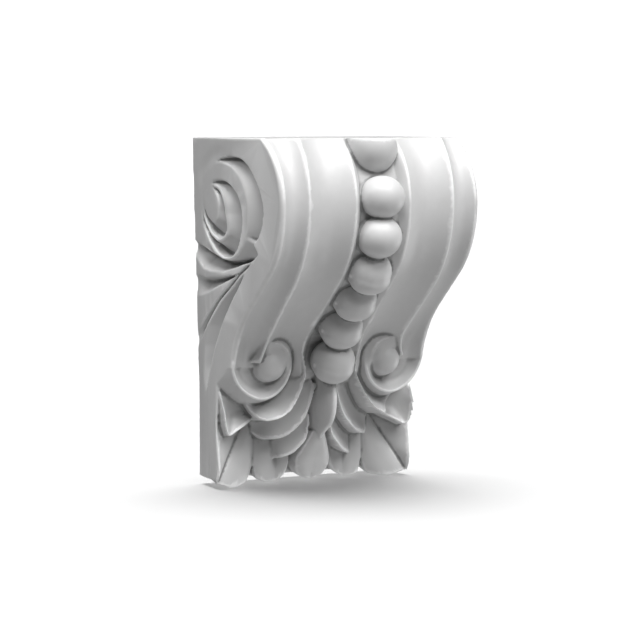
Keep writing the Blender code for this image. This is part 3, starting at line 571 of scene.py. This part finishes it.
def leaf(name, rails, bows, along=60, steps=14):
    """Surface swept straight between rails, each strip bowed by a sine, with walls down to the plate.

    The walls lean out by the draft. Past the knee their feet are drawn in, so that the widest stays behind
    the back's edge, and below the undercut's head they are lifted clear of the plate's foot.
    """
    rails = [smooth_path(rail, along) for rail in rails]
    rows = [rails[0][None]]
    share = np.linspace(0, 1, steps + 1)[1:, None, None]
    for first, second, bow in zip(rails[:-1], rails[1:], bows):
        strip = first[None] * (1 - share) + second[None] * share
        strip[..., 2] += bow * np.sin(np.pi * share[..., 0])
        rows.append(strip)
    top = np.concatenate(rows)
    foot = top.copy()
    foot[..., 2] = LEAF_ROOT
    for edge, inner in ((0, 2), (-1, -3)):
        away = top[edge, :, :2] - top[inner, :, :2]
        away /= np.maximum(np.linalg.norm(away, axis=1), 1e-6)[:, None]
        foot[edge, :, :2] += away * (LEAF_DRAFT * (top[edge, :, 2] - LEAF_ROOT))[:, None]
    widest = np.abs(foot[..., 0]).max()
    beyond = np.maximum(np.abs(foot[..., 0]) - ROOT_KNEE, 0)
    squeeze = (ROOT_LIMIT - ROOT_KNEE) / (widest - ROOT_KNEE) if widest > ROOT_LIMIT else 1.0
    foot[..., 0] -= np.sign(foot[..., 0]) * beyond * (1 - squeeze)
    lifted = UNDERCUT_FOOT + foot[..., 1] * (1 - UNDERCUT_FOOT / UNDERCUT_HEAD)
    foot[..., 1] = np.where(foot[..., 1] < UNDERCUT_HEAD, lifted, foot[..., 1])
    rows, columns = top.shape[:2]
    sheet = grid_faces(rows, columns, False)
    border = np.concatenate([np.arange(columns), np.arange(2 * columns - 1, rows * columns, columns),
                             np.arange(rows * columns - 2, (rows - 1) * columns - 1, -1),
                             np.arange((rows - 2) * columns, 0, -columns)])
    following = np.roll(border, -1)
    under = rows * columns
    walls = np.stack([following, border, under + border, under + following], axis=-1)
    faces = np.concatenate([sheet, under + sheet[:, ::-1], walls]).tolist()
    return make_form(name, place(np.concatenate([top.reshape(-1, 3), foot.reshape(-1, 3)])), faces)


def apron():
    """The leaves of the right half. A leaf's rails are drawn side by side, as (across, up, out)."""
    scroll = leaf("scroll_leaf", [
        [(23.6, 106, 63.6), (22.9, 97, 60.4), (21.4, 89, 59.8), (20.6, 82, 60.2), (23.4, 74, 61),
         (28.8, 64, 62), (35.6, 55.6, 62), (43.8, 51, 61), (49.0, 49.1, 55), (53.1, 50.4, 50)],
        [(34.0, 106, 56.0), (31.6, 97, 53.0), (30.0, 89, 51.0), (30.6, 82, 49.6), (32.8, 75.6, 48.0),
         (38.9, 66.4, 46.4), (47.8, 61.7, 44), (55.9, 60.5, 43.2), (59.9, 61.3, 43), (61.6, 62.2, 43)]],
        [-4])
    second = leaf("second_leaf", [
        [(8.1, 72.2, 52.2), (14.5, 52.6, 51.5), (21.9, 42.9, 50), (29.9, 36.7, 48), (37, 34.5, 44.5),
         (43, 34.6, 37), (47.8, 38.2, 29.4)],
        [(15, 88, 47), (22.5, 72, 44), (30, 62.5, 41), (37, 56.5, 38), (44, 53, 35),
         (49.5, 51, 30.6), (52.5, 51, 27.8)]], [-3])
    third = leaf("third_leaf", [
        [(8.5, 48.7, 45), (10, 35.8, 44), (14.2, 29.5, 44), (20.6, 23.2, 42), (27.4, 19.9, 38),
         (32, 18.7, 31.8), (34.8, 18.9, 30)],
        [(12, 64, 41), (15, 56, 39), (19.5, 49, 36.5), (26, 42.5, 33.5), (32, 38.5, 31),
         (36, 36.5, 28.5), (38.5, 36.5, 27)]], [-2])
    tongue = leaf("outer_tongue", [
        [(79.4, 75.6, 36.6), (79.9, 63.8, 43.2), (79.5, 52.9, 46.8), (77.8, 44.1, 45.6), (74, 38.8, 43.5),
         (65.7, 42.6, 42.5), (56.7, 47, 40.2), (48.6, 52, 36)],
        [(78.6, 80.6, 36), (75.3, 75.6, 37.2), (71.3, 70.6, 37.8), (68, 66.4, 37.2), (64.8, 63.8, 36.6),
         (59.9, 63, 36), (54.3, 63, 35.4), (47.8, 63, 34.2)]], [-3.5])
    corner = leaf("corner_leaf", [
        [(80.8, 60, 32), (80.95, 50, 34), (80.95, 36, 36.8), (80.95, 25, 38.4), (80.95, 15, 39.6),
         (80.9, 8.5, 38.6), (80.4, 2.4, 35)],
        [(52.6, 47, 25.0), (61.7, 32.6, 27.2), (70.9, 18.2, 30.6), (79.8, 4.2, 34.0)],
        [(51.0, 46, 26.4), (60.1, 31.6, 28.8), (69.3, 17.2, 32.2), (78.2, 3.2, 34.6)],
        [(48.2, 38, 26.8), (53.5, 24, 29.4), (60.5, 11, 31.6), (66.4, -0.8, 32.4)],
        [(45.4, 30.2, 25.2), (46.3, 17.6, 25.8), (47.8, 9.2, 25.8), (51.8, 1.4, 25.8)]],
        [0.6, 0.0, 0.6, 0.8])
    low = leaf("low_leaf", [
        [(47, 46, 25.2), (46, 26, 26), (45, 12, 26.4), (43, 3.8, 26.4)],
        [(38.9, 46, 27), (38.5, 26, 30), (37.5, 11, 29.4), (36, 1.2, 27.9)],
        [(29.2, 46, 28), (29, 26, 29), (28.5, 11, 28.5), (28, 1.4, 27.5)],
        [(17, 40, 28), (16.5, 24, 28), (17.5, 13, 28), (20.5, 5.9, 27.5)]], [0.8, 0.6, 1.0])
    return [scroll, second, third, tongue, corner, low]


def middle_forms():
    """The ribbed middle leaf, and the stem that dives into it: half an ellipse in front of a fixed depth."""
    edge = np.array([(4.9, 37.8, 42), (10.1, 26.9, 38), (13.9, 18.1, 34), (13.8, 12.6, 33),
                     (12.2, 8, 31.2), (8.7, 4, 30.4), (3.2, 2.2, 30)], float)
    rib = [(0, 37.8, 45.6), (0, 27.7, 42), (0, 19.3, 37.8), (0, 13.9, 35.4), (0, 8.4, 33),
           (0, 4.4, 31.2), (0, 1.8, 30.2)]
    lobe = leaf("middle_leaf", [edge * (-1, 1, 1), rib, edge], [1.2, 1.2])
    drawn = smooth_path([(9.4, 82.3, 60.5), (9.0, 67.2, 65), (8.0, 53.8, 64.4), (6.4, 44.5, 59.6),
                         (4.8, 37.8, 50.5), (4.4, 30.2, 42)], 60)
    half, up, out = (column[:, None] for column in drawn.T)
    turn = np.linspace(0, 2 * np.pi, 40, endpoint=False)[None, :]
    reach = np.where(np.sin(turn) < 0, out - STEM_MIDDLE, STEM_MIDDLE - LEAF_ROOT)
    rings = [half * np.cos(turn), up + 0 * turn, STEM_MIDDLE - reach * np.sin(turn)]
    return [lobe, loft("stem", np.stack(rings, axis=-1))]


# The cast.
# All the forms are one skin of plaster, so they are run together, softened as a rubber mould leaves them, and
# thinned. Shade is painted into the creases and a highlight onto the arrises, following how the skin bends.
VOXEL = 0.75
SOFTENING = 2
SOFTENING_SHARE = 0.5
TRIANGLES = 195000
# How often the bend behind the painted shade and highlight is spread to neighbours, and the bend at each end
# of its tones
PAINTED_SHADE_SPREAD = 3
PAINTED_SHADE_RANGE = 0.2
# Tones from painted shade in the creases, over the plain skin, to painted highlight on the arrises, each at
# its share of the range
PAINTED_SHADE_TONES = ((0.0, 0.28), (0.38, 0.60), (0.70, 0.60), (1.0, 0.80))
ROUGHNESS = 0.4
GRAIN = 0.04
GRAIN_SCALE = 140
GRAIN_DETAIL = 6


def mirrored(made):
    """Mirror image in the middle plane, with its faces turned to point out again."""
    twin = made.copy()
    twin.data = made.data.copy()
    bpy.context.scene.collection.objects.link(twin)
    places = np.empty(len(twin.data.vertices) * 3, np.float32)
    twin.data.vertices.foreach_get("co", places)
    places[0::3] *= -1
    twin.data.vertices.foreach_set("co", places)
    twin.data.flip_normals()
    return twin


def evaluated(made):
    """Mesh of an object with its modifiers carried out."""
    return bpy.data.meshes.new_from_object(made.evaluated_get(bpy.context.evaluated_depsgraph_get()))


def run_together(forms, name):
    """Closed skin round all the forms: voxel remesh, smoothing, then thinning, with the fine normals kept."""
    meshes = [form.data for form in forms]
    counts = np.cumsum([0] + [len(mesh.vertices) for mesh in meshes])
    places, faces = [], []
    for mesh, start in zip(meshes, counts):
        co = np.empty(len(mesh.vertices) * 3, np.float32)
        mesh.vertices.foreach_get("co", co)
        places.append(co.reshape(-1, 3))
        faces += [[start + v for v in face.vertices] for face in mesh.polygons]
    joined = bpy.data.meshes.new(name)
    joined.from_pydata(np.concatenate(places).tolist(), [], faces)
    for form in forms:
        bpy.data.objects.remove(form)
    made = bpy.data.objects.new(name, joined)
    bpy.context.scene.collection.objects.link(made)
    remesh = made.modifiers.new("skin", "REMESH")
    remesh.mode = "VOXEL"
    remesh.voxel_size = VOXEL * METRE
    smooth = made.modifiers.new("soft edges", "SMOOTH")
    smooth.factor = SOFTENING_SHARE
    smooth.iterations = SOFTENING
    skin = evaluated(made)
    skin.shade_smooth()
    fine = bpy.data.objects.new("fine_skin", skin)
    bpy.context.scene.collection.objects.link(fine)
    made.modifiers.clear()
    made.data = skin.copy()
    thin = made.modifiers.new("thinning", "DECIMATE")
    thin.ratio = min(1.0, TRIANGLES / sum(len(face.vertices) - 2 for face in skin.polygons))
    shading = made.modifiers.new("fine shading", "DATA_TRANSFER")
    shading.object = fine
    shading.use_loop_data = True
    shading.data_types_loops = {"CUSTOM_NORMAL"}
    shading.loop_mapping = "POLYINTERP_NEAREST"
    made.data = evaluated(made)
    made.modifiers.clear()
    bpy.data.objects.remove(fine)
    return made


# The bend drives painted shade in the creases and a painted highlight on the arrises.
def bend_of(mesh):
    """How sharply the skin bends at each vertex, per millimetre: positive on an arris, negative in a crease.

    Each edge gives twice the drop of one end below the other end's tangent plane, over its length squared.
    A vertex takes the mean of its edges, and then, as often as PAINTED_SHADE_SPREAD says, its neighbours' mean.
    """
    count = len(mesh.vertices)
    places, normals = np.empty(count * 3, np.float32), np.empty(count * 3, np.float32)
    mesh.vertices.foreach_get("co", places)
    mesh.vertices.foreach_get("normal", normals)
    places, normals = places.reshape(-1, 3) / METRE, normals.reshape(-1, 3)
    ends = np.empty(len(mesh.edges) * 2, np.int32)
    mesh.edges.foreach_get("vertices", ends)
    a, b = ends.reshape(-1, 2).T
    run = places[b] - places[a]
    square = np.maximum((run ** 2).sum(axis=1), 0.01)
    bend_a = -2 * (run * normals[a]).sum(axis=1) / square
    bend_b = 2 * (run * normals[b]).sum(axis=1) / square
    degree = np.maximum(np.bincount(ends, minlength=count), 1)
    bend = (np.bincount(a, bend_a, count) + np.bincount(b, bend_b, count)) / degree
    for _ in range(PAINTED_SHADE_SPREAD):
        bend = (np.bincount(a, bend[b], count) + np.bincount(b, bend[a], count)) / degree
    return bend.astype(np.float32)


paired = [volute(), arris_tip()] + apron()
paired += [mirrored(form) for form in paired]
beads = [ball("bead", (0, up, out), BEAD_RADII) for up, out in bead_centres()] + bead_lips()
cut_up = DRAWN_HEIGHT - CUT_BEAD_DROP
cut_out = float(ogee_out(np.array(cut_up), CREST)) - CUT_BEAD_SINK
beads.append(ball("cut_bead", (0, cut_up, cut_out), [CUT_BEAD_RADIUS] * 3))
corbel = run_together([loft("bands", body_rings())] + paired + beads + middle_forms(), "cast_corbel")
places = np.empty(len(corbel.data.vertices) * 3, np.float32)
corbel.data.vertices.foreach_get("co", places)
places = np.clip(places.reshape(-1, 3), np.array(cad_low), np.array(cad_high))
corbel.data.vertices.foreach_set("co", places.ravel())
corbel.data.update()
corbel.data.shade_smooth()
# The bend is kept on the mesh to paint shade into the creases and a highlight onto the arrises.
painted_shade_and_highlight = corbel.data.attributes.new("painted_shade_and_highlight", "FLOAT", "POINT")
painted_shade_and_highlight.data.foreach_set("value", bend_of(corbel.data))

plaster = bpy.data.materials.new("cast_plaster")
plaster.use_nodes = True
nodes, links = plaster.node_tree.nodes, plaster.node_tree.links
shader = nodes["Principled BSDF"]
shader.inputs["Roughness"].default_value = ROUGHNESS
# Painted shade and highlight: the bend picks a tone from dark in the creases to pale on the arrises, scaled
# by a fine grain.
painted_shade_input = nodes.new("ShaderNodeAttribute")
painted_shade_input.attribute_name = "painted_shade_and_highlight"
share = nodes.new("ShaderNodeMapRange")
share.inputs["From Min"].default_value = -PAINTED_SHADE_RANGE
share.inputs["From Max"].default_value = PAINTED_SHADE_RANGE
painted_shade_ramp = nodes.new("ShaderNodeValToRGB")
for tone in PAINTED_SHADE_TONES[1:-1]:
    painted_shade_ramp.color_ramp.elements.new(tone[0])
for stop, (at, tone) in zip(painted_shade_ramp.color_ramp.elements, PAINTED_SHADE_TONES):
    stop.position = at
    stop.color = (tone, tone, tone, 1)
where = nodes.new("ShaderNodeTexCoord")
cloud = nodes.new("ShaderNodeTexNoise")
cloud.inputs["Scale"].default_value = GRAIN_SCALE
cloud.inputs["Detail"].default_value = GRAIN_DETAIL
spread = nodes.new("ShaderNodeMapRange")
spread.inputs["To Min"].default_value = 1 - GRAIN
spread.inputs["To Max"].default_value = 1 + GRAIN
toned = nodes.new("ShaderNodeVectorMath")
toned.operation = "SCALE"
links.new(painted_shade_input.outputs["Fac"], share.inputs["Value"])
links.new(share.outputs["Result"], painted_shade_ramp.inputs["Fac"])
links.new(where.outputs["Object"], cloud.inputs["Vector"])
links.new(cloud.outputs["Fac"], spread.inputs["Value"])
links.new(painted_shade_ramp.outputs["Color"], toned.inputs["Vector"])
links.new(spread.outputs["Result"], toned.inputs["Scale"])
links.new(toned.outputs["Vector"], shader.inputs["Base Color"])
corbel.data.materials.clear()
corbel.data.materials.append(plaster)
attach(corbel, "root")
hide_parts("corbel")


# Studio.
# A pale floor runs back to a pale backdrop. Wide soft lights stand high in front and on the left, and two low
# ones on the right and a glow from under the horizon give the light that a white room throws back.
FLOOR = cad_low.z
FLOOR_CORNERS = ((-6, -4), (6, -4), (6, 6), (-6, 6))
FLOOR_TONE = 0.8
FLOOR_GLOW = 0.16
BACKDROP_HALF = 9.0
BACKDROP_BACK = 6.0
BACKDROP_TOP = 6.0
BACKDROP_SUNK = 1.0
BACKDROP_TONE = 0.9
BACKDROP_GLOW = 1.0
STAGE_ROUGHNESS = 0.9
# Each light: strength and angle across, then its bearing from the front towards the right and its height, in
# degrees. All of them light the cast alone, and the floor's own light lights only the floor
LIGHTS = {
    "right_key": (1.95, 25, 30, 60),
    "left_key": (1.59, 25, -30, 60),
    "right_front": (0.79, 25, 30, 40),
    "front": (0.38, 25, 0, 40),
    "left_side": (0.75, 25, -90, 40),
    "left_high": (0.90, 25, -75, 65),
    "low_side": (0.44, 25, 90, -20),
    "low_right": (0.25, 25, 30, -45),
}
FLOOR_LIGHT = (3.8, 60, 155, 80)
GLOW_FROM_BELOW = 0.72
# The camera stands in front on the left, just above the level of the corbel's top, and looks slightly down
CAMERA_PLACE = (-1.0169, -1.7365, 0.14456)
CAMERA_DOWN = 4.375
CAMERA_BEARING = -31
CAMERA_LENS = 154.63
CAMERA_SENSOR = 36


def sheet_of(name, corners, tone, glow):
    """Flat sheet between four corners with one plain material, which throws no light back at the cast."""
    mesh = bpy.data.meshes.new(name)
    mesh.from_pydata(corners, [], [(0, 1, 2, 3)])
    made = bpy.data.objects.new(name, mesh)
    bpy.context.scene.collection.objects.link(made)
    material = bpy.data.materials.new(name)
    material.use_nodes = True
    node = material.node_tree.nodes["Principled BSDF"]
    node.inputs["Base Color"].default_value = (tone, tone, tone, 1)
    node.inputs["Roughness"].default_value = STAGE_ROUGHNESS
    node.inputs["Emission Color"].default_value = (1, 1, 1, 1)
    node.inputs["Emission Strength"].default_value = glow
    mesh.materials.append(material)
    made.visible_diffuse = False
    made.visible_glossy = False
    made.visible_shadow = False
    return made


def light_of(name, strength, across, bearing, height, lit):
    """Wide sun that lights one piece alone, turned to its bearing and tipped down by its height."""
    light = bpy.data.objects.new(name, bpy.data.lights.new(name, "SUN"))
    light.data.energy = strength
    light.data.angle = np.radians(across)
    light.rotation_euler = (np.radians(90 - height), 0, np.radians(bearing))
    bpy.context.scene.collection.objects.link(light)
    light.light_linking.receiver_collection = bpy.data.collections.new(name)
    light.light_linking.receiver_collection.objects.link(lit)


floor = sheet_of("floor", [(x, y, FLOOR) for x, y in FLOOR_CORNERS], FLOOR_TONE, FLOOR_GLOW)
backdrop = [(-BACKDROP_HALF, FLOOR - BACKDROP_SUNK), (BACKDROP_HALF, FLOOR - BACKDROP_SUNK),
            (BACKDROP_HALF, BACKDROP_TOP), (-BACKDROP_HALF, BACKDROP_TOP)]
sheet_of("backdrop", [(x, BACKDROP_BACK, z) for x, z in backdrop], BACKDROP_TONE, BACKDROP_GLOW)
for name, light in LIGHTS.items():
    light_of(name, *light, corbel)
light_of("floor_light", *FLOOR_LIGHT, floor)

world = bpy.data.worlds.new("studio")
world.use_nodes = True
nodes, links = world.node_tree.nodes, world.node_tree.links
direction = nodes.new("ShaderNodeTexCoord")
split = nodes.new("ShaderNodeSeparateXYZ")
under = nodes.new("ShaderNodeMath")
under.operation = "MULTIPLY"
under.use_clamp = True
under.inputs[1].default_value = -1
scaled = nodes.new("ShaderNodeMath")
scaled.operation = "MULTIPLY"
scaled.inputs[1].default_value = GLOW_FROM_BELOW
links.new(direction.outputs["Generated"], split.inputs[0])
links.new(split.outputs["Z"], under.inputs[0])
links.new(under.outputs[0], scaled.inputs[0])
links.new(scaled.outputs[0], nodes["Background"].inputs["Strength"])
nodes["Background"].inputs["Color"].default_value = (1, 1, 1, 1)
bpy.context.scene.world = world
bpy.context.scene.view_settings.view_transform = "Standard"

camera = bpy.data.objects.new("camera", bpy.data.cameras.new("camera"))
camera.data.sensor_width = CAMERA_SENSOR
camera.data.lens = CAMERA_LENS
camera.location = CAMERA_PLACE
camera.rotation_euler = (np.radians(90 - CAMERA_DOWN), 0, np.radians(CAMERA_BEARING))
bpy.context.scene.collection.objects.link(camera)
bpy.context.scene.camera = camera
